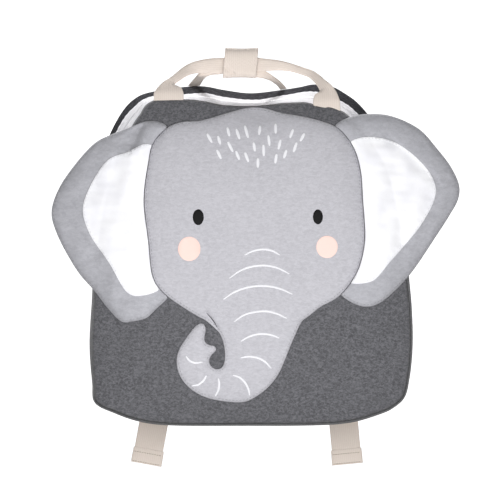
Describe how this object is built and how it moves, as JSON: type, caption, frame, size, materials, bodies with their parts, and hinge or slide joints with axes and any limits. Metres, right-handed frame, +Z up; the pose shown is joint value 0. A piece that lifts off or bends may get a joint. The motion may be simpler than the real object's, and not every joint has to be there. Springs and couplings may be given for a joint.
{
  "type": "kids animal backpack",
  "caption": "Small zipped child's backpack with a padded elephant face, standing ears, a webbing grip handle and padded shoulder straps.",
  "frame": {"origin": "centre of the underside of the grip wrap, where a hand or hook carries the bag", "axes": "+Z up, +Y from the face to the wearer's back, +X to the right of a viewer who faces the elephant"},
  "size_m": [0.3556, 0.1508, 0.369],
  "materials": {
    "marl_cloth": "dark-grey marl sweatshirt knit, matte",
    "face_cloth": "light-grey marl sweatshirt knit, matte",
    "lining_cloth": "white cotton, matte",
    "webbing": "cream cotton webbing, matte",
    "zip_cloth": "white zip tape with a nylon coil",
    "zip_metal": "plain nickel",
    "plastic": "cream moulded plastic"
  },
  "bodies": {
    "root": {"front_panel": "marl_cloth", "gusset_lower": "marl_cloth", "gusset_upper": "marl_cloth", "back_panel": "marl_cloth", "strap_left": "marl_cloth", "strap_right": "marl_cloth", "zip_tape": "zip_cloth", "zip_coil": "zip_cloth", "zip_slider": "zip_metal", "zip_puller": "zip_metal", "head": "face_cloth", "ear_left": "face_cloth", "ear_right": "face_cloth", "ear_lining_left": "lining_cloth", "ear_lining_right": "lining_cloth", "handle_front": "webbing", "handle_back": "webbing", "grip_wrap": "webbing", "strap_tab_left": "webbing", "strap_tab_right": "webbing", "webbing_left": "webbing", "webbing_right": "webbing", "adjuster_left": "plastic", "adjuster_right": "plastic"}
  },
  "joints": []
}
